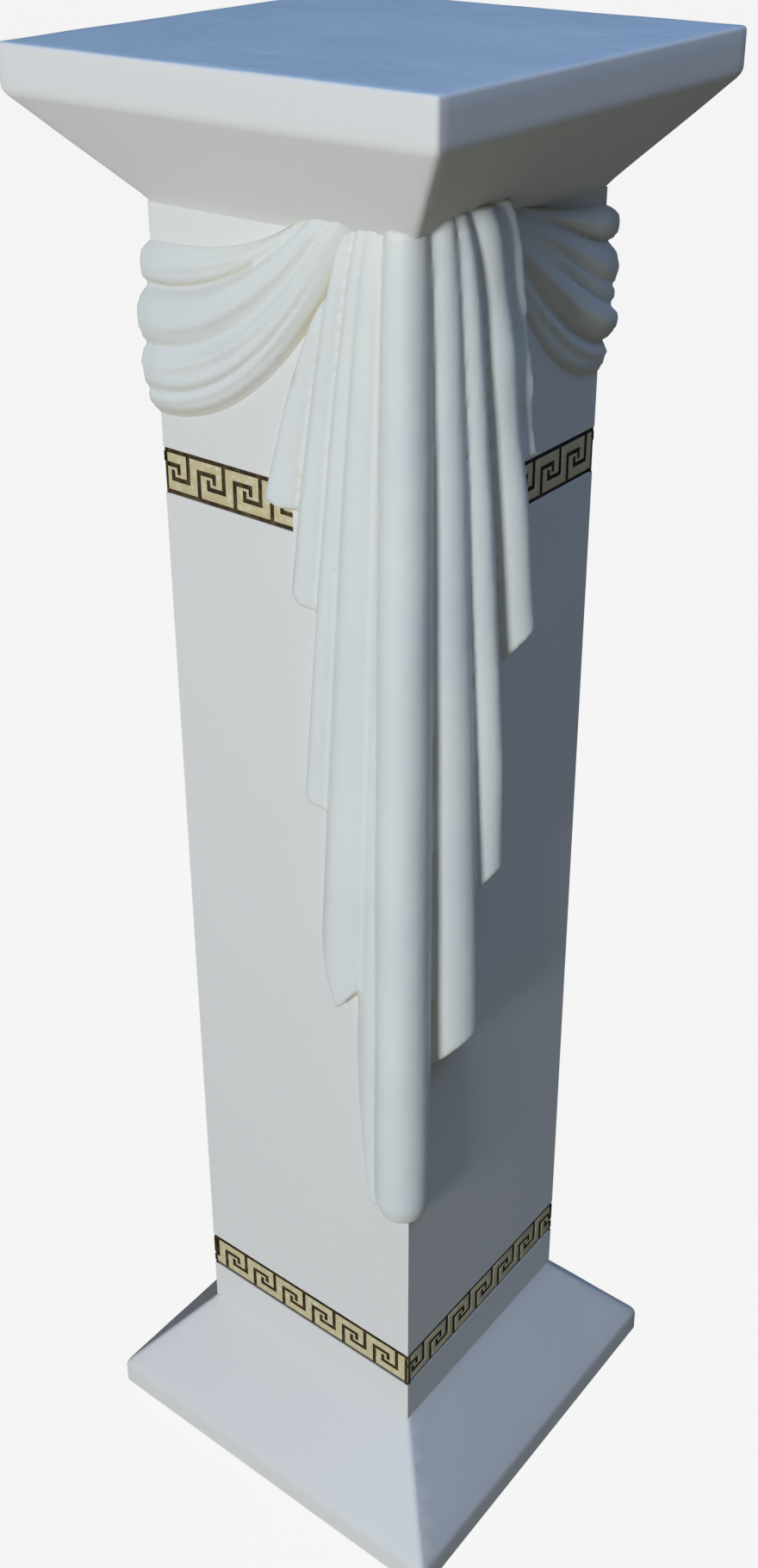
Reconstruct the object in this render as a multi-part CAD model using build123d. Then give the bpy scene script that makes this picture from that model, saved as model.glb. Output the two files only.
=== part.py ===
from build123d import *
from math import sqrt
import os

# Square pedestal column with carved drapery, cast in plaster as one hollow piece.
#
# The origin is the middle of the underside, +Z is up and the faces are square to X and Y, in
# millimetres. The front corner is at +X -Y. The fall of pleats hangs on it, and a twin hangs on the
# back corner. A swag runs from fall to fall round the left corner, and another round the right one.

# Overall form
HEIGHT = 1200.0
SHAFT_SIDE = 219.0
PLATE_SIDE = 346.0
PLATE_EDGE = 31.0
CAPITAL_TAPER = 72.0
PLINTH_SIDE = 346.0
PLINTH_EDGE = 24.0
SKIRT_HEIGHT = 76.0
CORNER_ROUND = 5.0
ARRIS_BEVEL = 2.0

# Hollow left by the core of the mould, open at the underside
SHAFT_WALL = 25.0
PLINTH_WALL = 30.0
TOP_WALL = 35.0

# Key-pattern bands, cut into the shaft
BAND_HEIGHT = 34.5
LOWER_BAND_RISE = 40.0
UPPER_BAND_DROP = 171.5
UPPER_BAND_GAP = 100.0
KEY_COUNT = 26
KEY_LINE = 3.4
KEY_RISE = 22.5
KEY_REACH = 14.5
KEY_TAIL = 5.0
KEY_RETURN = 23.5
KEY_DEPTH = 1.5
LOWER_FIRST_KEY = 15.0
UPPER_FIRST_KEY = 33.0

# Carved folds: how deep they are bedded in the shaft, how far the pleats run up inside the capital,
# and how many flats one fold is cut in
BEDDING = 5.0
TOP_TUCK = 13.0
PLEAT_FLAT_COUNT = 9
SWAG_FLAT_COUNT = 7
ROLL_FLAT_COUNT = 24

# The round roll down the front corner: its radius, its middle measured from the corner's edge along
# the left face and the right face, the part of its width that it has at the top, and its hem's drop
ROLL_RADIUS = 21.5
ROLL_LEFT = 8.5
ROLL_RIGHT = 3.0
ROLL_TOP = 0.62
ROLL_DROP = 765.0

# Pleats beside the roll. For each: the distances of its near and far edges from the corner, at its
# top and at its hem, the drops of the hem at those two edges, the drop of its top, and how proud it
# stands. A negative drop is inside the capital
RIGHT_PLEATS = (
    ((3, 19), (21, 70), (618, 600), -TOP_TUCK, 19),
    ((17, 36), (66, 99), (492, 468), -TOP_TUCK, 17),
    ((34, 59), (88, 134), (310, 278), -TOP_TUCK, 15),
    ((54, 71), (97, 113), (160, 150), -TOP_TUCK, 10),
)
LEFT_PLEATS = (
    ((13, 30), (35, 84), (568, 540), -TOP_TUCK, 14),
    ((24, 39), (66, 88), (400, 398), -TOP_TUCK, 12),
    ((35, 48), (72, 96), (250, 252), -TOP_TUCK, 11),
    ((53, 58), (90, 121), (180, 184), 38, 10),
    ((9, 20), (14, 54), (735, 640), -TOP_TUCK, 5),
)

# How a pleat hangs: where its sections lie along it, how early it fans out, how far its crest leans
# away from the corner, and the share of its depth that it has at its top
PLEAT_STEPS = (0.0, 0.04, 0.12, 0.25, 0.45, 0.7, 1.0)
PLEAT_FAN = 0.65
PLEAT_LEAN = 1.2
PLEAT_TOP_DEPTH = 0.75

# Valleys of the swags, from the top edge down to the hem. For each: its drop below the capital at
# the shaft's corner and at the fall, the part of the way that it hangs level before it climbs, and
# how far it stands out of the shaft. Then how proud each fold stands between two of them, and how far
# from the front corner the swag ends
LEFT_SWAG = (
    (20, -72, 0.25, -BEDDING),
    (51.5, -70, 0.25, 1.5),
    (99, -51, 0.25, 5.5),
    (131.5, -28.5, 0.25, 6),
    (153, -19, 0.25, -BEDDING),
)
LEFT_SWAG_PROUD = (11.0, 9.0, 6.0, 6.5)
LEFT_SWAG_START = 40.0
RIGHT_SWAG = (
    (11, -26, 0, -BEDDING),
    (38, -24, 0, 0.5),
    (68.5, -21.5, 0, 6),
    (84.5, -15, 0, 5),
    (109, -12, 0, 1),
    (136, -9, 0.2, -BEDDING),
)
RIGHT_SWAG_PROUD = (14.0, 8.5, 4.5, 10.5, 8.0)
RIGHT_SWAG_START = 66.0

# How steeply a valley starts its climb, how much thinner the folds get towards the fall, how far
# their crests lean down, and where the sections lie between the fall and the corner
SWAG_CLIMB = 1.3
SWAG_THINNING = 0.45
SWAG_LEAN = 0.0
SWAG_STEPS = (1.0, 0.86, 0.72, 0.58, 0.45, 0.33, 0.22, 0.13, 0.06)

# Levels and distances worked out from the sizes above
HALF_SHAFT = SHAFT_SIDE / 2
FOOT = PLINTH_EDGE + SKIRT_HEIGHT
NECK = HEIGHT - PLATE_EDGE - CAPITAL_TAPER
KEY_PITCH = 4 * SHAFT_SIDE / KEY_COUNT

# Directions seen from outside: along a face away from the corner, and out of that face
LEFT = Vector(-1, 0)
RIGHT = Vector(1, 0)
FRONT = Vector(0, -1)
BACK = Vector(0, 1)
FRONT_CORNER = Vector(HALF_SHAFT, -HALF_SHAFT)
LEFT_CORNER = Vector(-HALF_SHAFT, -HALF_SHAFT)
RIGHT_CORNER = Vector(HALF_SHAFT, HALF_SHAFT)
ACROSS = Plane((0, 0, 0), z_dir=(1, -1, 0))


def square_bar(side, bottom, height):
    return extrude(Plane.XY.offset(bottom) * Rectangle(side, side), height)


def tapered_block(low_side, high_side, bottom, height):
    """A square block whose four sides slope evenly from one side length to another."""
    inset = (low_side - high_side) / 2
    block = Wedge(low_side, height, low_side, inset, inset, low_side - inset, low_side - inset)
    return Pos(0, 0, bottom + height / 2) * Rot(X=90) * block


def casting_outside():
    """Plinth, skirt, shaft, tapered capital and top plate."""
    plinth = square_bar(PLINTH_SIDE, 0, PLINTH_EDGE)
    skirt = tapered_block(PLINTH_SIDE, SHAFT_SIDE, PLINTH_EDGE, SKIRT_HEIGHT)
    shaft = square_bar(SHAFT_SIDE, FOOT, NECK - FOOT)
    capital = tapered_block(SHAFT_SIDE, PLATE_SIDE, NECK, CAPITAL_TAPER)
    plate = square_bar(PLATE_SIDE, HEIGHT - PLATE_EDGE, PLATE_EDGE)
    plate = chamfer(plate.faces().sort_by(Axis.Z)[-1].edges(), ARRIS_BEVEL)
    widest = max(PLATE_SIDE, PLINTH_SIDE)
    corners = extrude(RectangleRounded(widest, widest, CORNER_ROUND), HEIGHT)
    return (plinth + skirt + shaft + capital + plate) & corners


def mould_core():
    """The hollow: it flares in the plinth and runs straight up the shaft."""
    core_side = SHAFT_SIDE - 2 * SHAFT_WALL
    flare = tapered_block(PLINTH_SIDE - 2 * PLINTH_WALL, core_side, 0, FOOT)
    return flare + square_bar(core_side, FOOT, HEIGHT - TOP_WALL - FOOT)


def line_between(start, end):
    """One line of the key pattern, square at both ends, as a rectangle on the face."""
    width = abs(end[0] - start[0]) + KEY_LINE
    height = abs(end[1] - start[1]) + KEY_LINE
    middle = ((start[0] + end[0]) / 2, (start[1] + end[1]) / 2)
    return Pos(*middle) * Rectangle(width, height)


def key_lines(first, last, phase):
    """Borders and hooks on a face between two distances from its middle, from the band's bottom up."""
    half_line = KEY_LINE / 2
    low, high = half_line, BAND_HEIGHT - half_line
    inner_low = BAND_HEIGHT - KEY_RISE
    lines = [line_between((first, low), (last, low)), line_between((first, high), (last, high))]
    start = phase - KEY_PITCH * (int((phase + HALF_SHAFT) / KEY_PITCH) + 1)
    count = int(SHAFT_SIDE / KEY_PITCH) + 3
    for number in range(count):
        x = start + number * KEY_PITCH
        risen = [(x, low), (x, KEY_RISE), (x + KEY_REACH, KEY_RISE), (x + KEY_REACH, KEY_RISE - KEY_TAIL)]
        back = x + KEY_RETURN
        hung = [(back, high), (back, inner_low), (back - KEY_REACH, inner_low)]
        hung.append((back - KEY_REACH, inner_low + KEY_TAIL))
        for hook in (risen, hung):
            lines += [line_between(a, b) for a, b in zip(hook, hook[1:])]
    window = Pos((first + last) / 2, BAND_HEIGHT / 2) * Rectangle(last - first, BAND_HEIGHT)
    return Sketch() + lines & window


def band_cuts(bottom, first_key, gap):
    """Cutters for one band on the four faces. The gap is left plain beside the front and back corners."""
    cuts = []
    for face in range(4):
        plane = Plane(origin=(0, -HALF_SHAFT, bottom), x_dir=(1, 0, 0), z_dir=(0, -1, 0))
        first = -HALF_SHAFT + (gap if face % 2 else 0)
        last = HALF_SHAFT - (0 if face % 2 else gap)
        phase = (first_key - face * SHAFT_SIDE) % KEY_PITCH - HALF_SHAFT
        lines = plane * key_lines(first, last, phase)
        cuts.append(Rot(Z=90 * face) * extrude(lines, -KEY_DEPTH))
    return cuts


def at_level(place, level):
    return Vector(place.X, place.Y, level)


def crest(start, end, out, proud, lean, flats):
    """Points over one fold, from edge to edge. Its crest stands that far out and leans to the start."""
    across = end - start
    lift = out * proud * 4 / 3
    curve = Bezier(start, start + across * lean / 2 + lift, end - across * (1 - lean) / 2 + lift, end)
    return curve.positions([number / flats for number in range(flats + 1)])


def pleat(corner, along, out, top_edges, hem_edges, hem_drops, top_drop, proud):
    """One pleat of the fall, as a loft down to its hem. It leans away from the corner."""
    sections = []
    for step in PLEAT_STEPS:
        ends = []
        for top, hem, drop in zip(top_edges, hem_edges, hem_drops):
            distance = top + (hem - top) * step**PLEAT_FAN
            level = NECK - (top_drop + (drop - top_drop) * step)
            ends.append(at_level(corner + along * distance - out * BEDDING, level))
        near, far = ends
        depth = BEDDING + proud * (PLEAT_TOP_DEPTH + (1 - PLEAT_TOP_DEPTH) * step**0.5)
        points = crest(near, far, out, depth, PLEAT_LEAN, PLEAT_FLAT_COUNT)
        sections.append(Wire.make_polygon(points))
    return Solid.make_loft(sections, ruled=True)


def corner_roll():
    """The round roll down the front corner, narrower under the capital."""
    sections = []
    for step in PLEAT_STEPS:
        scale = ROLL_TOP + (1 - ROLL_TOP) * step**0.5
        level = NECK + TOP_TUCK - (ROLL_DROP + TOP_TUCK) * step
        middle = FRONT_CORNER + LEFT * ROLL_LEFT * scale + BACK * ROLL_RIGHT * scale
        outline = RegularPolygon(ROLL_RADIUS * scale, ROLL_FLAT_COUNT)
        sections.append(Pos(*at_level(middle, level)) * outline.wire())
    return Solid.make_loft(sections, ruled=True)


def swag(corner, faces, valleys, folds, start):
    """A swag round one corner of the shaft, from the front fall to the back one.

    Each section stands upright and runs over every fold from the top one to the hem.
    """
    span = SHAFT_SIDE - start
    (near_along, near_out), (far_along, far_out) = faces
    stations = [(near_along * span * step, near_out, step) for step in SWAG_STEPS]
    stations.append((Vector(0, 0), (near_out + far_out).normalized(), 0.0))
    stations += [(far_along * span * step, far_out, step) for step in reversed(SWAG_STEPS)]
    sections = []
    for shift, out, step in stations:
        points = []
        for low, high, level_part, stand in valleys:
            climb = max(0.0, (step - level_part) / (1 - level_part)) ** SWAG_CLIMB
            points.append(at_level(corner + shift + out * stand, NECK - (low + (high - low) * climb)))
        outline = [points[0]]
        for upper, lower, proud in zip(points, points[1:], folds):
            fullness = proud * (1 - SWAG_THINNING * step**3)
            outline += crest(upper, lower, out, fullness, SWAG_LEAN, SWAG_FLAT_COUNT)[1:]
        sections.append(Wire.make_polygon(outline))
    return Solid.make_loft(sections, ruled=True)


def drapery():
    """Everything carved on the two front faces and the two corners beside them."""
    folds = [corner_roll()]
    folds += [pleat(FRONT_CORNER, BACK, RIGHT, *sizes) for sizes in RIGHT_PLEATS]
    folds += [pleat(FRONT_CORNER, LEFT, FRONT, *sizes) for sizes in LEFT_PLEATS]
    left_faces = ((RIGHT, FRONT), (BACK, LEFT))
    right_faces = ((FRONT, RIGHT), (LEFT, BACK))
    left_swag = swag(LEFT_CORNER, left_faces, LEFT_SWAG, LEFT_SWAG_PROUD, LEFT_SWAG_START)
    right_swag = swag(RIGHT_CORNER, right_faces, RIGHT_SWAG, RIGHT_SWAG_PROUD, RIGHT_SWAG_START)
    twins = [fold.mirror(ACROSS) for fold in folds]
    return folds + twins + [left_swag, right_swag]


def column():
    upper_bottom = NECK - UPPER_BAND_DROP - BAND_HEIGHT
    lower_cuts = band_cuts(FOOT + LOWER_BAND_RISE, LOWER_FIRST_KEY, 0)
    upper_cuts = band_cuts(upper_bottom, UPPER_FIRST_KEY, UPPER_BAND_GAP)
    cast = casting_outside() - lower_cuts - upper_cuts
    return cast + drapery() - mould_core()


os.makedirs("parts", exist_ok=True)
export_step(column(), "parts/column.step")
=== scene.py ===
from math import cos, pi, radians, sin, sqrt

import bmesh
import bpy
from bpy.props import FloatProperty, FloatVectorProperty, IntProperty, PointerProperty
from mathutils import Matrix, Vector, noise


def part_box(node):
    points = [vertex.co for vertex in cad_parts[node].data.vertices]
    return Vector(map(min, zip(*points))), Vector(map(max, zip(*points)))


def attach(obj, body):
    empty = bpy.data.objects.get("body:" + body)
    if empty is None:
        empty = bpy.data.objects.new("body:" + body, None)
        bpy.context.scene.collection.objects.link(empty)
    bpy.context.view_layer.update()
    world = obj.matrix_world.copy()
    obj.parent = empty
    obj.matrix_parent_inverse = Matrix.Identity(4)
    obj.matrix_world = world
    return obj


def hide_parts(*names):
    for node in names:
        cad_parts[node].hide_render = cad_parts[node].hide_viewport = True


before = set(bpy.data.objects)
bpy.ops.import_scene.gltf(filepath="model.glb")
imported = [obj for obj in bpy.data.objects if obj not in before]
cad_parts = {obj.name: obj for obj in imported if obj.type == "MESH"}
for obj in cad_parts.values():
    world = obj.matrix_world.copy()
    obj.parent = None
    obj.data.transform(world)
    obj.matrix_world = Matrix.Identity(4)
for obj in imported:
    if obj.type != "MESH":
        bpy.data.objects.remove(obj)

bl_info = {
    "name": "Draped Pedestal Column",
    "version": (1, 0, 0),
    "blender": (4, 5, 0),
    "location": "View3D > Sidebar > Column",
    "description": "Builds a cast plaster pedestal column with carved drapery and key-pattern bands",
    "category": "Object",
}

# The frame's own box gives the overall size. Lengths are in metres, and tables are in millimetres.
MM = 0.001
CAD_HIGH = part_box("column")[1]
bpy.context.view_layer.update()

# Pleats of the fall beside the corner's roll. For each: the distances of its near and far edges from
# the corner at its top and at its hem, the drops of the hem at those edges, how much lower its tip
# hangs between them, the drop of its top, how proud it stands, where between its edges its crest lies,
# and how much its hem rises towards the crest
RIGHT_PLEATS = (
    ((4, 28), (21, 70), (636, 622), 0, -20, 26, 0.55, 26),
    ((14, 40), (48, 88), (508, 492), 0, -20, 33, 0.50, 40),
    ((25, 68), (66, 108), (326, 306), 0, -20, 39, 0.50, 42),
    ((46, 77), (74, 96), (170, 162), 0, -20, 33, 0.85, 16),
)
LEFT_PLEATS = (
    ((9, 20), (14, 54), (770, 600), 80, -13, 9, 0.5, 0),
    ((13, 34), (36, 84), (552, 512), 52, -13, 14, 0.6, 0),
    ((24, 39), (66, 94), (417, 405), 3, -13, 12, 0.6, 4),
    ((35, 50), (72, 103), (262, 246), 6, -13, 11, 0.6, 6),
    ((53, 66), (90, 124), (191, 187), 4, 38, 10, 0.7, 6),
)

# Valleys of the swags, from the top edge down to the hem. For each: its drop below the capital at
# the shaft's corner and at the fall, the power of its climb between them, and how far it stands out
# of the shaft. Then how proud each fold stands between two of them
LEFT_SWAG = (
    (22, -51, 3, -6),
    (54, -47, 2, 1.5),
    (95, -35, 2, 5.5),
    (128, -22, 2.1, 6),
    (150, 5, 2.1, -6),
)
LEFT_SWAG_PROUD = (11, 9, 6, 6.5)
RIGHT_SWAG = (
    (10, -16, 1.7, -6),
    (37, -14.5, 1.1, 0.5),
    (68, -2, 0.95, 6),
    (83, 0, 1.05, 5),
    (107, 3, 1.45, 1),
    (135, 5, 2.2, -6),
)
RIGHT_SWAG_PROUD = (14, 8.5, 4.5, 10.5, 8)

# Points nearer than WELD are one, planes nearer than NEAR are one, and CLEAR tells pieces apart
WELD = 1e-6
NEAR = 1e-5
CLEAR = 0.001

# How the plain casting is finished: the angles above which an edge is rounded and shaded sharp, the
# width of its faces, the width of the waves in them, and how far from a held level they start
ROUNDED_ANGLE = 0.35
SHARP_ANGLE = radians(40)
FACE_SPACING = 0.012
PLINTH_WAVES = 0.09
CAPITAL_WAVES = 0.07
HELD_REACH = 0.002

# Sizes of what shows in the plaster's paint, the reach of its painted shade in the valleys, and the middle of
# the stain
CLOUDS = 0.11
SPECKLES = 0.03
BRUSH_MARKS = 0.022
PITS = 0.0022
VALLEY_WIDTH = 0.013
STAIN_MIDDLE = (0.0115, -0.1190, 1.006)

# Directions seen from outside
LEFT = Vector((-1, 0, 0))
RIGHT = Vector((1, 0, 0))
FRONT = Vector((0, -1, 0))
BACK = Vector((0, 1, 0))
UP = Vector((0, 0, 1))


def linear(hex_colour):
    """An sRGB hex colour as linear values with an alpha of 1."""
    channels = [int(hex_colour[start:start + 2], 16) / 255 for start in (0, 2, 4)]
    return [c / 12.92 if c <= 0.04045 else ((c + 0.055) / 1.055) ** 2.4 for c in channels] + [1.0]


def length(default, name, description):
    """A length as a property with its unit."""
    return FloatProperty(name=name, description=description, default=default, unit="LENGTH")


def colour(default, name, description):
    """A colour as a property, given as sRGB hex."""
    return FloatVectorProperty(name=name, description=description, default=linear(default), size=4,
                               subtype="COLOR", min=0, max=1)


class ColumnSizes(bpy.types.PropertyGroup):
    """Sizes of the plain casting."""

    shaft_side: length(0.219, "Shaft side", "Side of the square shaft")
    plate_edge: length(0.031, "Plate edge", "Thickness of the top plate")
    capital_taper: length(0.072, "Capital taper", "Height of the taper under the top plate")
    plinth_edge: length(0.024, "Plinth edge", "Height of the plinth's upright edge")
    skirt_height: length(0.076, "Skirt height", "Height of the sloped skirt")
    shaft_wall: length(0.025, "Shaft wall", "Thickness of the shaft round the hollow")
    plinth_wall: length(0.030, "Plinth wall", "Width of the rim that stands on the floor")
    top_wall: length(0.035, "Top wall", "Thickness of the casting above the hollow")
    edge_round: length(0.0035, "Edge round", "Rounding of the cast edges")
    wander: length(0.0012, "Wander", "How far a hand-finished surface wanders from true")


class BandSizes(bpy.types.PropertyGroup):
    """Sizes of the key-pattern bands."""

    height: length(0.0345, "Band height", "Height of a band with its borders")
    lower_rise: length(0.040, "Lower band rise", "Height of the lower band above the skirt")
    upper_drop: length(0.1715, "Upper band drop", "Drop of the upper band's top edge below the capital")
    gap: length(0.100, "Upper band gap", "Plain part of a face beside the falls")
    line: length(0.0034, "Line", "Width of a dark line")
    rise: length(0.0225, "Key rise", "Height of a key's upright")
    reach: length(0.0145, "Key reach", "Reach of a key's hook")
    tail: length(0.005, "Key tail", "Length of the hook's tail")
    back: length(0.0235, "Key return", "Distance to the upright that hangs from the top border")
    depth: length(0.0012, "Line depth", "Depth of the lines below the gold")
    seat: length(0.003, "Seat", "Depth of the sunk place that a band fills")
    bond: length(0.0005, "Bond", "How far a band's back is bonded into the shaft")
    lower_first: length(0.015, "Lower first key", "Distance of the lower band's first key from the corner")
    upper_first: length(0.033, "Upper first key", "Distance of the upper band's first key from the corner")
    keys: IntProperty(name="Keys", description="Keys that go once round the shaft", default=26, min=4)


class DrapeSizes(bpy.types.PropertyGroup):
    """Sizes of the carved drapery."""

    bedding: length(0.006, "Bedding", "How deep a fold is bedded in the shaft")
    roll_radius: length(0.0215, "Roll radius", "Radius of the roll on the corner")
    roll_left: length(0.0085, "Roll left", "Distance of the roll's middle from the corner on the left face")
    roll_right: length(0.003, "Roll right", "Distance of the roll's middle from the corner on the right face")
    roll_drop: length(0.765, "Roll drop", "Drop of the roll's hem below the capital")
    left_start: length(0.040, "Left swag start", "Where the left swag leaves the fall")
    right_start: length(0.084, "Right swag start", "Where the right swag leaves the fall")
    grain: length(0.0019, "Grain", "Finest detail that the cast drapery holds")


class FinishColours(bpy.types.PropertyGroup):
    """Colours of the paint, of its painted shade and painted sky light, and of the key pattern."""

    cool: colour("cfd6dc", "Cool white", "Body colour of the painted plaster")
    warm: colour("d9d9d2", "Warm white", "Where the paint is thin and the plaster shows")
    cream: colour("e9ebe4", "Cream", "Body colour of the drapery")
    cream_thin: colour("e2e5e2", "Thin cream", "The drapery's paint where it is thin")
    # Painted shade: the yellowish cream that darkens the valleys and creases
    valley_shade: colour("cdc393", "Valley cream", "Old varnish that has run into the valleys")
    # Painted sky light: the blue of the top plate, and its paler patches
    sky: colour("cfe0e6", "Top blue", "Cool paint on the top plate")
    sky_worn: colour("d5e4e8", "Worn top blue", "The same paint where it is thin")
    # Painted shade: the beige of faces that look down
    underside: colour("d3c9b0", "Underside", "Old varnish on what faces the floor")
    grime: colour("8f877a", "Grime", "Dirt on the plinth's edge")
    stain: colour("a9ad72", "Stain", "Greenish stain under the left swag")
    wash: colour("372a17", "Dark wash", "Antique wash in the lines of the pattern")
    wash_thin: colour("6a5530", "Thin wash", "The same wash where it is thin")
    gold: colour("d3c596", "Old gold", "Gold paint of the pattern")
    gold_worn: colour("e6dfc4", "Worn gold", "Where the gold is worn down to the plaster")


def smooth_step(value):
    """An even start and end between 0 and 1."""
    value = min(max(value, 0.0), 1.0)
    return value * value * (3 - 2 * value)


def levels(sizes):
    """The main levels: foot of the shaft, neck of the capital and underside of the plate."""
    foot = sizes.plinth_edge + sizes.skirt_height
    plate = CAD_HIGH.z - sizes.plate_edge
    return foot, plate - sizes.capital_taper, plate


def finish_piece(bm, name, materials):
    """Turn a bmesh into a smooth-shaded piece of the column that stands for the CAD node."""
    mesh = bpy.data.meshes.new(name)
    bm.to_mesh(mesh)
    bm.free()
    mesh.shade_smooth()
    mesh.set_sharp_from_angle(angle=SHARP_ANGLE)
    for material in materials:
        mesh.materials.append(material)
    piece = bpy.data.objects.new(name, mesh)
    bpy.context.scene.collection.objects.link(piece)
    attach(piece, "root")
    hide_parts("column")
    return piece


def raise_square(bm, face, level, half_side):
    """Extrude a level face to another level, as a square of that half side."""
    region = bmesh.ops.extrude_face_region(bm, geom=[face])["geom"]
    new_face = [part for part in region if isinstance(part, bmesh.types.BMFace)][0]
    for vert in new_face.verts:
        vert.co.x = half_side if vert.co.x > 0 else -half_side
        vert.co.y = half_side if vert.co.y > 0 else -half_side
        vert.co.z = level
    return new_face


def square_stack(rings):
    """A closed block through squares, given from the bottom up as levels and half sides."""
    bm = bmesh.new()
    level, half_side = rings[0]
    bmesh.ops.create_grid(bm, x_segments=1, y_segments=1, size=half_side)
    bmesh.ops.translate(bm, verts=bm.verts, vec=UP * level)
    top = raise_square(bm, bm.faces[:][0], *rings[1])
    for ring in rings[2:]:
        covered = top
        top = raise_square(bm, covered, *ring)
        bmesh.ops.delete(bm, geom=[covered], context="FACES_ONLY")
    bmesh.ops.recalc_face_normals(bm, faces=bm.faces)
    return bm


def level_faces(bm, level, direction):
    """Faces at one level that look straight up or down."""
    return [face for face in bm.faces
            if abs(face.calc_center_median().z - level) < NEAR and face.normal.z * direction > 0.9]


def bore_through(bm, low, high, low_wall, high_wall):
    """Open a square hollow from end to end of a block, leaving a wall of its own width at each end."""
    loops = []
    for level, direction, wall in ((low, -1, low_wall), (high, 1, high_wall)):
        end = level_faces(bm, level, direction)
        bmesh.ops.inset_region(bm, faces=end, thickness=wall, use_even_offset=True)
        loops += [edge for face in end for edge in face.edges]
        bmesh.ops.delete(bm, geom=end, context="FACES_ONLY")
    bmesh.ops.bridge_loops(bm, edges=loops)
    bmesh.ops.recalc_face_normals(bm, faces=bm.faces)


def ease_edges(bm, width, chosen):
    """Round the chosen ones of the sharp edges."""
    sharp = [edge for edge in bm.edges
             if edge.is_manifold and edge.calc_face_angle() > ROUNDED_ANGLE and chosen(edge)]
    bmesh.ops.bevel(bm, geom=sharp, offset=width, offset_type="OFFSET", affect="EDGES", segments=3,
                    profile=0.5, material=-1, clamp_overlap=True)


def slice_block(bm, spacing):
    """Cut a block by upright and level planes, so that its faces are about as wide as the spacing."""
    for axis in (RIGHT, BACK, UP):
        reach = [vert.co.dot(axis) for vert in bm.verts]
        low, high = min(reach), max(reach)
        count = max(1, round((high - low) / spacing))
        for number in range(1, count):
            place = axis * (low + (high - low) * number / count)
            geometry = bm.verts[:] + bm.edges[:] + bm.faces[:]
            bmesh.ops.bisect_plane(bm, geom=geometry, dist=WELD, plane_co=place, plane_no=axis)


def hand_finish(bm, amount, width, held_levels):
    """Let the faces wander inwards, as plaster that was cast and rubbed down by hand does. The levels
    where it stands or meets another part are held."""
    bm.normal_update()
    for vert in bm.verts:
        if min(abs(vert.co.z - level) for level in held_levels) < HELD_REACH:
            continue
        wave = 0.7 * noise.noise(vert.co / width) + 0.3 * noise.noise(vert.co * 3 / width)
        vert.co -= vert.normal * amount * 0.5 * (1 + wave)


def make_plinth(sizes):
    """The plinth: an upright edge and a sloped skirt round the mouth of the hollow."""
    foot = levels(sizes)[0]
    half_shaft = sizes.shaft_side / 2
    bm = square_stack(((0, CAD_HIGH.x), (sizes.plinth_edge, CAD_HIGH.x), (foot, half_shaft)))
    bore_through(bm, 0, foot, sizes.plinth_wall, sizes.shaft_wall)
    ease_edges(bm, sizes.edge_round, lambda edge: min(v.co.z for v in edge.verts) < foot - CLEAR)
    slice_block(bm, FACE_SPACING)
    hand_finish(bm, sizes.wander, PLINTH_WAVES, (0, foot))
    return bm


def make_capital(sizes):
    """The taper and the top plate, with the end of the hollow inside and painted blue sky light on top."""
    neck, plate = levels(sizes)[1:]
    top_depth = 0.01
    half_shaft = sizes.shaft_side / 2
    bm = square_stack(((neck, half_shaft), (plate, CAD_HIGH.x), (CAD_HIGH.z, CAD_HIGH.x)))
    underside = level_faces(bm, neck, -1)
    bmesh.ops.inset_region(bm, faces=underside, thickness=sizes.shaft_wall, use_even_offset=True)
    region = bmesh.ops.extrude_face_region(bm, geom=underside)["geom"]
    bmesh.ops.delete(bm, geom=underside, context="FACES_ONLY")
    ceiling = [part for part in region if isinstance(part, bmesh.types.BMVert)]
    bmesh.ops.translate(bm, verts=ceiling, vec=UP * (CAD_HIGH.z - sizes.top_wall - neck))
    bmesh.ops.recalc_face_normals(bm, faces=bm.faces)
    ease_edges(bm, sizes.edge_round, lambda edge: max(v.co.z for v in edge.verts) > plate - CLEAR)
    slice_block(bm, FACE_SPACING)
    hand_finish(bm, sizes.wander, CAPITAL_WAVES, (neck,))
    # The faces on top take the blue of painted sky light
    for face in bm.faces:
        if face.normal.z > 0.8 and face.calc_center_median().z > CAD_HIGH.z - top_depth:
            face.material_index = 1
    return bm


def sink_faces(bm, faces, half_shaft, depth):
    """Sink part of the shaft's faces, with a step all round the part."""
    region = bmesh.ops.extrude_face_region(bm, geom=faces)["geom"]
    bmesh.ops.delete(bm, geom=faces, context="FACES_ONLY")
    for part in region:
        if isinstance(part, bmesh.types.BMVert):
            for axis in (0, 1):
                if abs(abs(part.co[axis]) - half_shaft) < NEAR:
                    part.co[axis] *= (half_shaft - depth) / half_shaft


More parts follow.
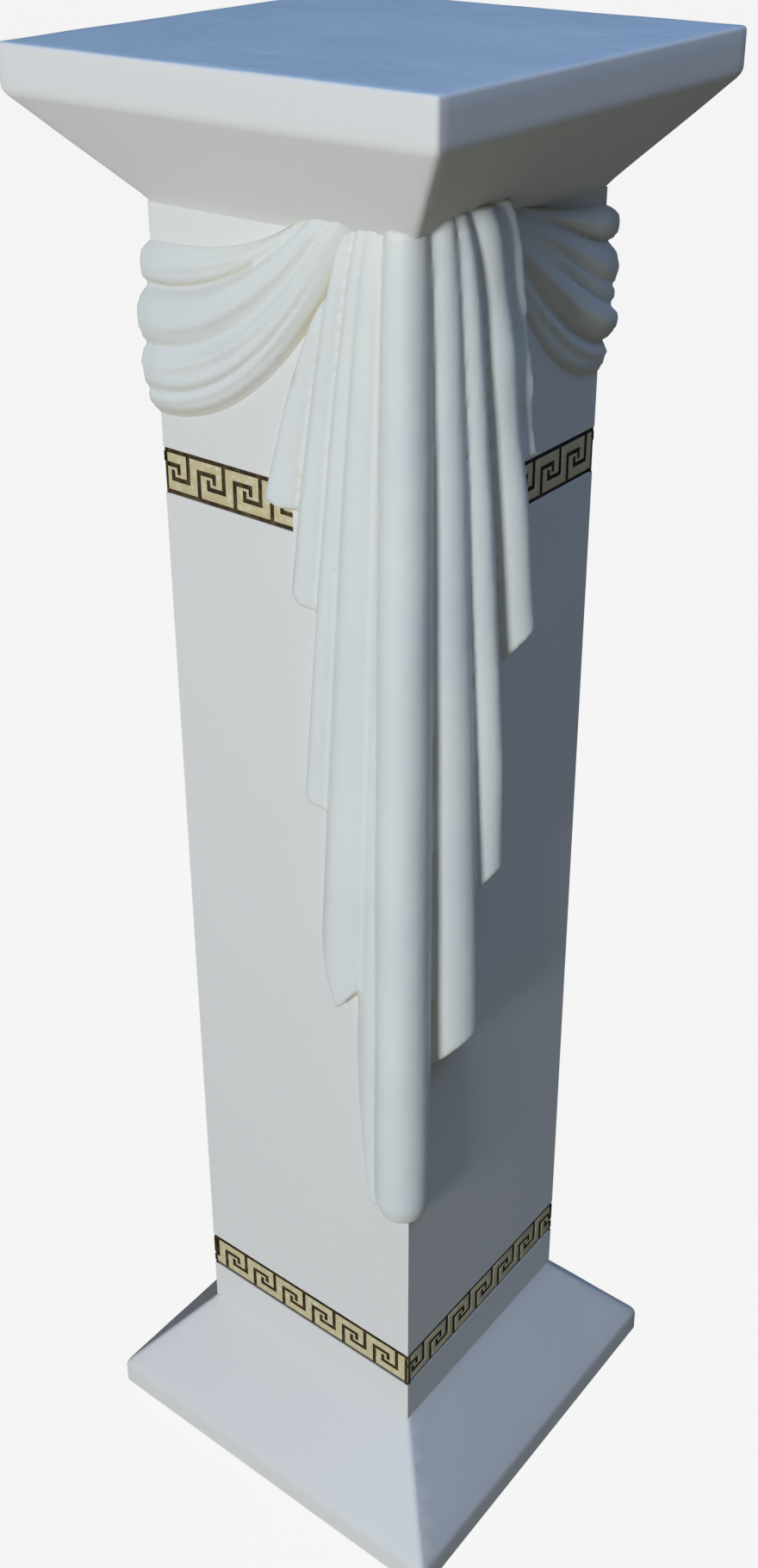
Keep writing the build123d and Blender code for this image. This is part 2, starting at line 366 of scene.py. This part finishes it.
def make_shaft(sizes, bands):
    """The shaft, open from end to end, with the bands' places sunk into its faces."""
    foot, neck = levels(sizes)[:2]
    half_shaft = sizes.shaft_side / 2
    bm = square_stack(((foot, half_shaft), (neck, half_shaft)))
    bore_through(bm, foot, neck, sizes.shaft_wall, sizes.shaft_wall)
    lower = foot + bands.lower_rise
    upper = neck - bands.upper_drop - bands.height
    for level in (lower, lower + bands.height, upper, upper + bands.height):
        geometry = bm.verts[:] + bm.edges[:] + bm.faces[:]
        bmesh.ops.bisect_plane(bm, geom=geometry, dist=WELD, plane_co=UP * level, plane_no=UP)
    end = half_shaft - bands.gap
    for axis, place in ((RIGHT, end), (RIGHT, -end), (BACK, end), (BACK, -end)):
        faces = [face for face in bm.faces
                 if upper < face.calc_center_median().z < upper + bands.height]
        edges = {edge for face in faces for edge in face.edges}
        verts = {vert for face in faces for vert in face.verts}
        bmesh.ops.bisect_plane(bm, geom=list(verts) + list(edges) + faces, dist=WELD,
                               plane_co=axis * place, plane_no=axis)
    bm.normal_update()

    def outside(face):
        middle = face.calc_center_median()
        return abs(face.normal.z) < 0.1 and max(abs(middle.x), abs(middle.y)) > half_shaft - CLEAR

    ring = [face for face in bm.faces
            if outside(face) and lower < face.calc_center_median().z < lower + bands.height]
    sink_faces(bm, ring, half_shaft, bands.seat)
    for side in (-1, 1):
        part = []
        for face in bm.faces:
            middle = face.calc_center_median()
            banded = upper < middle.z < upper + bands.height
            near_corner = side * (middle.x + middle.y) > 0
            if outside(face) and banded and near_corner and band_reaches(middle, half_shaft, bands.gap):
                part.append(face)
        sink_faces(bm, part, half_shaft, bands.seat)
    bmesh.ops.recalc_face_normals(bm, faces=bm.faces)
    return bm


def band_reaches(middle, half_shaft, gap):
    """Whether a place on a face is far enough from the front and back corners for the upper band."""
    for corner in (Vector((half_shaft, -half_shaft, middle.z)), Vector((-half_shaft, half_shaft, middle.z))):
        if max(abs(middle.x - corner.x), abs(middle.y - corner.y)) < gap:
            return False
    return True


def key_rectangles(bands, pitch, first, last, phase):
    """Dark lines of the pattern on a face as (low x, high x, low z, high z), from the band's bottom."""
    half = bands.line / 2
    low, high = half, bands.height - half
    inner = bands.height - bands.rise
    lines = [((first, low), (last, low)), ((first, high), (last, high))]
    x = phase
    while x > first - pitch:
        x -= pitch
    while x < last + pitch:
        top = bands.rise
        lines += [((x, low), (x, top)), ((x, top), (x + bands.reach, top))]
        lines += [((x + bands.reach, top), (x + bands.reach, top - bands.tail))]
        hung = x + bands.back
        lines += [((hung, high), (hung, inner)), ((hung, inner), (hung - bands.reach, inner))]
        lines += [((hung - bands.reach, inner), (hung - bands.reach, inner + bands.tail))]
        x += pitch
    return [(min(a[0], b[0]) - half, max(a[0], b[0]) + half,
             min(a[1], b[1]) - half, max(a[1], b[1]) + half) for a, b in lines]


def key_strip(sizes, bands, turn, bottom, first, last, rectangles):
    """One face's strip of the pattern: gold cells stand flush with the shaft, and the lines lie lower."""
    half_shaft = sizes.shaft_side / 2
    back = bands.seat + bands.bond
    bm = bmesh.new()
    bmesh.ops.create_grid(bm, x_segments=1, y_segments=1, size=0.5)
    for vert in bm.verts:
        along = first if vert.co.x < 0 else last
        vert.co = Vector((along, -half_shaft + back, bottom + (bands.height if vert.co.y > 0 else 0)))
    across = sorted({round(value, 6) for box in rectangles for value in box[:2]})
    upright = sorted({round(value, 6) for box in rectangles for value in box[2:]})
    cuts = [(RIGHT, RIGHT * place) for place in across if first < place < last]
    cuts += [(UP, UP * (bottom + place)) for place in upright if 0 < place < bands.height]
    for axis, place in cuts:
        geometry = bm.verts[:] + bm.edges[:] + bm.faces[:]
        bmesh.ops.bisect_plane(bm, geom=geometry, dist=WELD, plane_co=place, plane_no=axis)
    lines = bm.faces.layers.int.new("line")
    for face in bm.faces:
        middle = face.calc_center_median()
        height = middle.z - bottom
        face[lines] = int(any(low <= middle.x <= high and base <= height <= top
                              for low, high, base, top in rectangles))
    original = bm.faces[:]
    region = bmesh.ops.extrude_face_region(bm, geom=original)["geom"]
    raised = [part for part in region if isinstance(part, bmesh.types.BMFace)]
    verts = [part for part in region if isinstance(part, bmesh.types.BMVert)]
    bmesh.ops.translate(bm, verts=verts, vec=FRONT * (back - bands.depth))
    gold = [face for face in raised if not face[lines]]
    region = bmesh.ops.extrude_face_region(bm, geom=gold)["geom"]
    bmesh.ops.delete(bm, geom=gold, context="FACES_ONLY")
    tops = [part for part in region if isinstance(part, bmesh.types.BMFace)]
    verts = [part for part in region if isinstance(part, bmesh.types.BMVert)]
    bmesh.ops.translate(bm, verts=verts, vec=FRONT * bands.depth)
    bmesh.ops.recalc_face_normals(bm, faces=bm.faces)
    bmesh.ops.dissolve_limit(bm, angle_limit=0.01, verts=bm.verts, edges=bm.edges, delimit={"SEAM"})
    bm.normal_update()
    for face in bm.faces:
        forward = face.normal.y < -0.9 and face.calc_center_median().y < -half_shaft + bands.depth / 2
        face.material_index = 1 if forward else 0
    rim = [edge for edge in bm.edges
           if edge.is_manifold and {face.material_index for face in edge.link_faces} == {0, 1}]
    bmesh.ops.bevel(bm, geom=rim, offset=bands.depth * 0.3, offset_type="OFFSET", affect="EDGES",
                    segments=2, profile=0.5, material=1, clamp_overlap=True)
    quarter_turns = Matrix.Rotation(turn * pi / 2, 3, "Z")
    bmesh.ops.rotate(bm, verts=bm.verts, cent=(0, 0, 0), matrix=quarter_turns)
    return bm


def merge(parts):
    """Put the meshes of several bmeshes into one."""
    whole = bmesh.new()
    for part in parts:
        mesh = bpy.data.meshes.new("part")
        part.to_mesh(mesh)
        part.free()
        whole.from_mesh(mesh)
        bpy.data.meshes.remove(mesh)
    return whole


def band_strips(sizes, bands, faces, bottom, first_key, gap):
    """Strips of one band on the named faces, numbered from the left visible one round to the left."""
    half_shaft = sizes.shaft_side / 2
    pitch = 4 * sizes.shaft_side / bands.keys
    strips = []
    for face in faces:
        first = -half_shaft + (gap if face % 2 else 0)
        last = half_shaft - (0 if face % 2 else gap)
        phase = (first_key - face * sizes.shaft_side) % pitch - half_shaft
        rectangles = key_rectangles(bands, pitch, first, last, phase)
        strips.append(key_strip(sizes, bands, face, bottom, first, last, rectangles))
    return merge(strips)


def tube(rows, columns, place):
    """A closed tube: place(u, v) gives a point, u going round a section and v along the tube."""
    bm = bmesh.new()
    bmesh.ops.create_grid(bm, x_segments=columns, y_segments=rows, size=0.5)
    for vert in bm.verts:
        vert.co = place(vert.co.x + 0.5, vert.co.y + 0.5)
    bmesh.ops.remove_doubles(bm, verts=bm.verts, dist=WELD)
    bmesh.ops.holes_fill(bm, edges=[edge for edge in bm.edges if edge.is_boundary], sides=0)
    bmesh.ops.recalc_face_normals(bm, faces=bm.faces)
    return bm


def ridge(t, crest):
    """Height across a fold, from 0 over 1 to 0: round as a roll up to its crest and steeper behind it."""
    if t < crest:
        return sqrt(1 - (1 - t / crest) ** 2)
    return max(0.0, cos(pi / 2 * (t - crest) / (1 - crest))) ** 0.7


def make_pleat(sizes, drape, corner, along, out, pleat):
    """One hanging pleat beside the corner: a soft fold under the capital that opens out towards its
    hem, which is cut on the slant. Its front sheet closes on to its back sheet at the hem."""
    top_edges, hem_edges, hem_drops, tip, top_drop, proud, crest, lift = pleat
    neck = levels(sizes)[1]
    rows, columns = 240, 60
    last = (rows - 0.5) / rows
    front_part = 0.75
    fanning = 0.7
    top_stand, hem_gain = 0.55, 0.45
    wobble = 0.1

    def place(u, v):
        closing = v > last
        v = min(v / last, 1)
        edges = [top + (hem - top) * v ** fanning for top, hem in zip(top_edges, hem_edges)]
        drops = [top_drop + (drop - top_drop) * v for drop in hem_drops]
        if u <= front_part:
            t = u / front_part
            height = 0 if closing else ridge(t, crest)
        else:
            t = 1 - (u - front_part) / (1 - front_part)
            height = 0
        stand = proud * MM * (top_stand + hem_gain * v ** 0.5)
        stand *= 1 + wobble * noise.noise(Vector((edges[0] / 9, v * 3, 0)))
        across = (edges[0] + (edges[1] - edges[0]) * t) * MM
        slant = tip * (1 - abs(2 * t - 1)) - lift * height
        drop = drops[0] + (drops[1] - drops[0]) * t + v * slant
        point = corner + along * across + UP * (neck - drop * MM)
        return point + out * (height * (stand + drape.bedding) - drape.bedding)

    return tube(rows, columns, place)


def make_roll(sizes, drape, corner, along_left, along_right):
    """The round roll on the corner, narrower under the capital and softly closed at its hem."""
    neck = levels(sizes)[1]
    tuck = 0.013
    top_scale, hem_gain = 0.62, 0.38
    closing_start, closing_part = 0.975, 0.025
    hem_rounding = 0.22
    wobble = 0.03

    def place(u, v):
        scale = top_scale + hem_gain * v ** 0.5
        closing = max(0.0, (v - closing_start) / closing_part)
        radius = drape.roll_radius * scale * (1 - hem_rounding * closing ** 2)
        middle = corner + along_left * drape.roll_left * scale + along_right * drape.roll_right * scale
        turn = 2 * pi * u
        radius *= 1 + wobble * noise.noise(Vector((sin(turn), v * 6, 0)))
        point = middle + UP * (neck + tuck - (drape.roll_drop + tuck) * v)
        return point + Matrix.Rotation(turn, 3, "Z") @ (RIGHT * radius)

    return tube(160, 64, place)


def make_swag(sizes, drape, corner, faces, valleys, folds, start):
    """A swag round one corner of the shaft: its folds hang level there and climb to the falls."""
    neck = levels(sizes)[1]
    (near_along, near_out), (far_along, far_out) = faces
    span = sizes.shaft_side - start
    front_part = 0.9
    bend = 0.022
    gather = 2
    thinning = 0.7
    crest = 0.6
    ripple, ripples, ripple_shift = 0.9, 5, 4

    def place(u, v):
        side = 2 * v - 1
        step = abs(side)
        along, own_out, other_out = near_along, near_out, far_out
        if side >= 0:
            along, own_out, other_out = far_along, far_out, near_out
        distance = span * step
        turn = 0.5 * (1 - smooth_step(distance / bend))
        out = (own_out * (1 - turn) + other_out * turn).normalized()
        lines = []
        for low, high, power, stand in valleys:
            lines.append((low + (high - low) * step ** power, stand + gather * step ** 2))
        if u > front_part:
            t = 1 - (u - front_part) / (1 - front_part)
            drop = lines[0][0] + (lines[-1][0] - lines[0][0]) * t
            return corner + along * distance - out * drape.bedding + UP * (neck - drop * MM)
        t = u / front_part * len(folds)
        fold = min(int(t), len(folds) - 1)
        t -= fold
        (upper, upper_stand), (lower, lower_stand) = lines[fold], lines[fold + 1]
        stand = upper_stand + (lower_stand - upper_stand) * t
        stand += folds[fold] * (1 - thinning * step ** 2) * ridge(1 - t, crest)
        stand += ripple * sin(pi * ripples * t + ripple_shift * fold) * step * (1 - step) * 4
        drop = upper + (lower - upper) * t
        return corner + along * distance + out * stand * MM + UP * (neck - drop * MM)

    return tube(240, 160, place)


def cast_together(parts, grain):
    """Fuse closed parts into one skin and soften it, as plaster softens what it is cast from."""
    source = merge(parts)
    mesh = bpy.data.meshes.new("cast")
    source.to_mesh(mesh)
    source.free()
    mould = bpy.data.objects.new("cast", mesh)
    bpy.context.scene.collection.objects.link(mould)
    remesh = mould.modifiers.new("Remesh", "REMESH")
    remesh.mode = "VOXEL"
    remesh.voxel_size = grain
    skin = mould.evaluated_get(bpy.context.evaluated_depsgraph_get())
    bm = bmesh.new()
    bm.from_mesh(skin.to_mesh())
    skin.to_mesh_clear()
    bpy.data.objects.remove(mould)
    bpy.data.meshes.remove(mesh)
    for _ in range(2):
        bmesh.ops.smooth_vert(bm, verts=bm.verts, factor=0.5, use_axis_x=True, use_axis_y=True,
                              use_axis_z=True)
    return bm


def make_fall(sizes, drape, twin):
    """The fall of pleats on the front corner, or its twin on the back one."""
    half_shaft = sizes.shaft_side / 2
    corner = Vector((half_shaft, -half_shaft, 0))
    parts = [make_roll(sizes, drape, corner, LEFT, BACK)]
    parts += [make_pleat(sizes, drape, corner, BACK, RIGHT, pleat) for pleat in RIGHT_PLEATS]
    parts += [make_pleat(sizes, drape, corner, LEFT, FRONT, pleat) for pleat in LEFT_PLEATS]
    bm = cast_together(parts, drape.grain)
    if twin:
        for vert in bm.verts:
            vert.co.x, vert.co.y = vert.co.y, vert.co.x
        bmesh.ops.reverse_faces(bm, faces=bm.faces)
    return bm


def add(tree, kind, settings=None, inputs=None):
    """Add one node, with its settings, and its inputs as plain values or links."""
    node = tree.nodes.new("ShaderNode" + kind)
    for name, value in (settings or {}).items():
        setattr(node, name, value)
    for name, value in (inputs or {}).items():
        if isinstance(value, bpy.types.NodeSocket):
            tree.links.new(value, node.inputs[name])
        else:
            node.inputs[name].default_value = value
    return node


def blend_colours(tree, factor, first, second):
    """The first colour, and the second one where the factor is 1."""
    mix = add(tree, "Mix", {"data_type": "RGBA"}, {0: factor, 6: first, 7: second})
    return mix.outputs[2]


def share(tree, value, low, high, to_low=0.0, to_high=1.0):
    """Map part of a value's range to another range, and hold it at the ends."""
    mapped = add(tree, "MapRange", {"clamp": True}, {
        "Value": value, "From Min": low, "From Max": high, "To Min": to_low, "To Max": to_high})
    return mapped.outputs["Result"]


def mottle(tree, place, size, detail):
    """Noise from 0 to 1 with features of about one size."""
    texture = add(tree, "TexNoise", None, {"Vector": place, "Scale": 1 / size, "Detail": detail})
    return texture.outputs["Fac"]


def relief(tree, height, strength, depth, normal=None):
    """A surface direction that shows a height, on top of another one if that is given."""
    bump = add(tree, "Bump", None, {"Height": height, "Strength": strength, "Distance": depth})
    if normal:
        tree.links.new(normal, bump.inputs["Normal"])
    return bump.outputs["Normal"]


def new_material(name):
    """An empty material and its node tree."""
    material = bpy.data.materials.new(name)
    material.use_nodes = True
    material.node_tree.nodes.clear()
    return material, material.node_tree


def close_material(tree, base, roughness, normal, specular):
    """Put a material's parts together in one shader."""
    shader = add(tree, "BsdfPrincipled", None, {
        "Base Color": base, "Roughness": roughness, "Normal": normal, "Specular IOR Level": specular})
    add(tree, "OutputMaterial", None, {"Surface": shader.outputs["BSDF"]})


def plaster_paint(name, body, thin, colours, stained=False, grimy=False):
    """Cast plaster under matt masonry paint: chalky, a little mottled, with fine pits and soft brush marks,
    and with painted shade: a yellowish cream in the valleys and a beige on what faces down. Pieces that share
    a paint share it here."""
    known = bpy.data.materials.get(name)
    if known:
        return known
    material, tree = new_material(name)
    place = add(tree, "TexCoord").outputs["Object"]
    clouds = mottle(tree, place, CLOUDS, 5.0)
    base = blend_colours(tree, share(tree, clouds, 0.38, 0.66), body, thin)
    # Painted shade: where the ambient occlusion is low, in valleys and creases, the colour goes towards a
    # yellowish cream
    shade = add(tree, "AmbientOcclusion", {"samples": 8}, {"Distance": VALLEY_WIDTH})
    shaded = share(tree, shade.outputs["AO"], 0.3, 0.85, 0.8, 0.0)
    base = blend_colours(tree, shaded, base, colours.valley_shade)
    # Painted shade: faces that look down are tinted beige, more so the more steeply they look down
    facing = add(tree, "SeparateXYZ", None, {"Vector": add(tree, "NewGeometry").outputs["Normal"]})
    below = share(tree, facing.outputs["Z"], -0.75, -0.05, 0.55, 0.0)
    base = blend_colours(tree, below, base, colours.underside)
    if stained:
        spot = add(tree, "VectorMath", {"operation": "DISTANCE"}, {0: place, 1: STAIN_MIDDLE})
        spread = share(tree, spot.outputs["Value"], 0.003, 0.013, 0.7, 0.0)
        base = blend_colours(tree, spread, base, colours.stain)
    if grimy:
        height = add(tree, "SeparateXYZ", None, {"Vector": place}).outputs["Z"]
        speckle = mottle(tree, place, SPECKLES, 6.0)
        low = share(tree, height, 0.006, 0.026, 0.5, 0.0)
        dirt = add(tree, "Math", {"operation": "MULTIPLY"}, {0: low, 1: speckle})
        base = blend_colours(tree, dirt.outputs["Value"], base, colours.grime)
    brushed = relief(tree, mottle(tree, place, BRUSH_MARKS, 3.0), 0.35, 0.002)
    pitted = relief(tree, mottle(tree, place, PITS, 2.0), 0.25, 0.0004, brushed)
    rough = share(tree, clouds, 0.3, 0.7, 0.5, 0.66)
    close_material(tree, base, rough, pitted, 0.35)
    return material


def wash_paint(colours):
    """Umber antique wash in the lines: thin, matt, and streaky over the plaster."""
    material, tree = new_material("umber_wash")
    place = add(tree, "TexCoord").outputs["Object"]
    streaks = mottle(tree, place, 0.006, 4.0)
    base = blend_colours(tree, share(tree, streaks, 0.45, 0.75), colours.wash, colours.wash_thin)
    close_material(tree, base, 0.7, relief(tree, streaks, 0.2, 0.0004), 0.3)
    return material


def gold_paint(colours):
    """Old-gold bronze paint: satin, worn thin so that the plaster shows through in flecks."""
    material, tree = new_material("old_gold_paint")
    place = add(tree, "TexCoord").outputs["Object"]
    flecks = mottle(tree, place, 0.005, 5.0)
    base = blend_colours(tree, share(tree, flecks, 0.5, 0.72), colours.gold, colours.gold_worn)
    rough = share(tree, flecks, 0.3, 0.7, 0.35, 0.55)
    close_material(tree, base, rough, relief(tree, flecks, 0.2, 0.0004), 0.5)
    return material


def shaft_paint(colours):
    """The paint of the plain casting, dirty at the foot."""
    return plaster_paint("painted_plaster", colours.cool, colours.warm, colours, stained=True, grimy=True)


def top_sky_tint_paint(colours):
    """The top plate's paint, tinted blue as painted sky light."""
    return plaster_paint("top_sky_tint_paint", colours.sky, colours.sky_worn, colours)


def drape_paint(colours):
    """The warmer paint of the drapery."""
    return plaster_paint("cream_plaster", colours.cream, colours.cream_thin, colours, stained=True)


class COLUMN_OT_plinth(bpy.types.Operator):
    """Build the plinth with its sloped skirt"""

    bl_idname = "column.plinth"
    bl_label = "Plinth"

    def execute(self, context):
        scene = context.scene
        finish_piece(make_plinth(scene.column_sizes), "plinth", [shaft_paint(scene.column_colours)])
        return {"FINISHED"}


class COLUMN_OT_shaft(bpy.types.Operator):
    """Build the square shaft with the sunk places for the bands"""

    bl_idname = "column.shaft"
    bl_label = "Shaft"

    def execute(self, context):
        scene = context.scene
        bm = make_shaft(scene.column_sizes, scene.column_bands)
        finish_piece(bm, "shaft", [shaft_paint(scene.column_colours)])
        return {"FINISHED"}


class COLUMN_OT_capital(bpy.types.Operator):
    """Build the tapered capital and its top plate"""

    bl_idname = "column.capital"
    bl_label = "Capital"

    def execute(self, context):
        scene = context.scene
        colours = scene.column_colours
        finish_piece(make_capital(scene.column_sizes), "capital",
                     [shaft_paint(colours), top_sky_tint_paint(colours)])
        return {"FINISHED"}


class COLUMN_OT_bands(bpy.types.Operator):
    """Build the key-pattern bands"""

    bl_idname = "column.bands"
    bl_label = "Key-pattern bands"

    def execute(self, context):
        scene = context.scene
        sizes, bands, colours = scene.column_sizes, scene.column_bands, scene.column_colours
        foot, neck = levels(sizes)[:2]
        lower = foot + bands.lower_rise
        upper = neck - bands.upper_drop - bands.height
        paints = [wash_paint(colours), gold_paint(colours)]
        strips = band_strips(sizes, bands, range(4), lower, bands.lower_first, 0)
        finish_piece(strips, "key_band_lower", paints)
        for name, faces in (("key_band_left", (0, 3)), ("key_band_right", (1, 2))):
            strips = band_strips(sizes, bands, faces, upper, bands.upper_first, bands.gap)
            finish_piece(strips, name, paints)
        return {"FINISHED"}


class COLUMN_OT_falls(bpy.types.Operator):
    """Build the fall of pleats on the front corner and its twin on the back one"""

    bl_idname = "column.falls"
    bl_label = "Falls of pleats"

    def execute(self, context):
        scene = context.scene
        for name, twin in (("fall_front", False), ("fall_back", True)):
            bm = make_fall(scene.column_sizes, scene.column_drapes, twin)
            finish_piece(bm, name, [drape_paint(scene.column_colours)])
        return {"FINISHED"}


class COLUMN_OT_swags(bpy.types.Operator):
    """Build the swags round the left and right corners"""

    bl_idname = "column.swags"
    bl_label = "Swags"

    def execute(self, context):
        scene = context.scene
        sizes, drape = scene.column_sizes, scene.column_drapes
        half = sizes.shaft_side / 2
        left = (Vector((-half, -half, 0)), ((RIGHT, FRONT), (BACK, LEFT)), LEFT_SWAG, LEFT_SWAG_PROUD,
                drape.left_start)
        right = (Vector((half, half, 0)), ((FRONT, RIGHT), (LEFT, BACK)), RIGHT_SWAG, RIGHT_SWAG_PROUD,
                 drape.right_start)
        for name, values in (("swag_left", left), ("swag_right", right)):
            bm = cast_together([make_swag(sizes, drape, *values)], drape.grain)
            finish_piece(bm, name, [drape_paint(scene.column_colours)])
        return {"FINISHED"}


def soft_lamp(name, place, target, size, power, tint):
    """A square soft box that points at a place."""
    lamp = bpy.data.lights.new(name, "AREA")
    lamp.size = size
    lamp.energy = power
    lamp.color = linear(tint)[:3]
    holder = bpy.data.objects.new(name, lamp)
    holder.location = place
    holder.rotation_euler = (Vector(target) - Vector(place)).to_track_quat("-Z", "Y").to_euler()
    bpy.context.scene.collection.objects.link(holder)


def make_floor():
    """A pale floor that shows almost white and keeps the column's shadow."""
    reach, whiteness = 25, 0.9
    bm = bmesh.new()
    bmesh.ops.create_grid(bm, x_segments=1, y_segments=1, size=reach)
    mesh = bpy.data.meshes.new("floor")
    bm.to_mesh(mesh)
    bm.free()
    floor = bpy.data.objects.new("floor", mesh)
    bpy.context.scene.collection.objects.link(floor)
    material, tree = new_material("studio_floor")
    plain = add(tree, "BsdfDiffuse", None, {"Color": linear("b2a88e")})
    white = add(tree, "Emission", None, {"Color": linear("ffffff"), "Strength": 1.0})
    seen = add(tree, "LightPath").outputs["Is Camera Ray"]
    lifted = share(tree, seen, 0.0, 1.0, 0.0, whiteness)
    mixed = add(tree, "MixShader", None, {
        0: lifted, 1: plain.outputs["BSDF"], 2: white.outputs["Emission"]})
    add(tree, "OutputMaterial", None, {"Surface": mixed.outputs["Shader"]})
    mesh.materials.append(material)


def make_world():
    """Even studio light, a little cool, with a white background for the camera."""
    world = bpy.data.worlds.new("studio")
    bpy.context.scene.world = world
    world.use_nodes = True
    tree = world.node_tree
    tree.nodes.clear()
    seen = add(tree, "LightPath").outputs["Is Camera Ray"]
    room = add(tree, "Background", None, {"Color": linear("a3bbf0"), "Strength": 0.06})
    white = add(tree, "Background", None, {"Color": linear("ffffff"), "Strength": 1.0})
    mixed = add(tree, "MixShader", None, {
        0: seen, 1: room.outputs["Background"], 2: white.outputs["Background"]})
    add(tree, "OutputWorld", None, {"Surface": mixed.outputs["Shader"]})


def make_camera():
    """The photograph's camera: a phone held by someone standing, off the front corner."""
    picture_height = 1821
    picture_middle = (440, 910.5)
    optical_centre = (438, 730)
    focal_pixels = 1990
    place, heading, tilt, roll = (0.7111, -0.91, 1.3479), 38.2, 63.5, -0.3
    data = bpy.data.cameras.new("camera")
    data.sensor_width = 36
    data.lens = focal_pixels / picture_height * data.sensor_width
    data.shift_x = (picture_middle[0] - optical_centre[0]) / picture_height
    data.shift_y = (optical_centre[1] - picture_middle[1]) / picture_height
    camera = bpy.data.objects.new("camera", data)
    stand = Matrix.Translation(place)
    for degrees, axis in ((heading, "Z"), (tilt, "X"), (roll, "Z")):
        stand = stand @ Matrix.Rotation(radians(degrees), 4, axis)
    camera.matrix_world = stand
    bpy.context.scene.collection.objects.link(camera)
    bpy.context.scene.camera = camera


class COLUMN_OT_stage(bpy.types.Operator):
    """Set up the floor, the soft studio light and the camera"""

    bl_idname = "column.stage"
    bl_label = "Stage"

    def execute(self, context):
        make_floor()
        make_world()
        soft_lamp("key", (0.54, -6.0, 2.1), target=(0, 0, 0.65), size=1.5, power=272, tint="f0f6ff")
        soft_lamp("sky", (0.8, 0.2, 3.4), target=(0, 0, 0.6), size=2.4, power=42, tint="a8c4f4")
        make_camera()
        context.scene.view_settings.view_transform = "Standard"
        return {"FINISHED"}


class COLUMN_PT_panel(bpy.types.Panel):
    """Buttons for the column's pieces and its sizes and colours"""

    bl_label = "Draped Column"
    bl_space_type = "VIEW_3D"
    bl_region_type = "UI"
    bl_category = "Column"

    def draw(self, context):
        for operator in OPERATORS:
            self.layout.operator(operator.bl_idname)
        for group, kind in GROUPS:
            values = getattr(context.scene, group)
            for prop in values.bl_rna.properties:
                if prop.identifier not in ("rna_type", "name"):
                    self.layout.prop(values, prop.identifier)


OPERATORS = (COLUMN_OT_plinth, COLUMN_OT_shaft, COLUMN_OT_capital, COLUMN_OT_bands, COLUMN_OT_falls,
             COLUMN_OT_swags, COLUMN_OT_stage)
GROUPS = (("column_sizes", ColumnSizes), ("column_bands", BandSizes), ("column_drapes", DrapeSizes),
          ("column_colours", FinishColours))


def register():
    """Make the sizes, the colours, the operators and the panel known."""
    for name, kind in GROUPS:
        bpy.utils.register_class(kind)
        setattr(bpy.types.Scene, name, PointerProperty(type=kind))
    for kind in OPERATORS + (COLUMN_PT_panel,):
        bpy.utils.register_class(kind)


def unregister():
    """Take them away again, in the other order."""
    for kind in reversed(OPERATORS + (COLUMN_PT_panel,)):
        bpy.utils.unregister_class(kind)
    for name, kind in reversed(GROUPS):
        delattr(bpy.types.Scene, name)
        bpy.utils.unregister_class(kind)


def main():
    """Build every piece and the stage."""
    register()
    for operator in OPERATORS:
        section, call = operator.bl_idname.split(".")
        getattr(getattr(bpy.ops, section), call)()


if __name__ == "__main__":
    main()
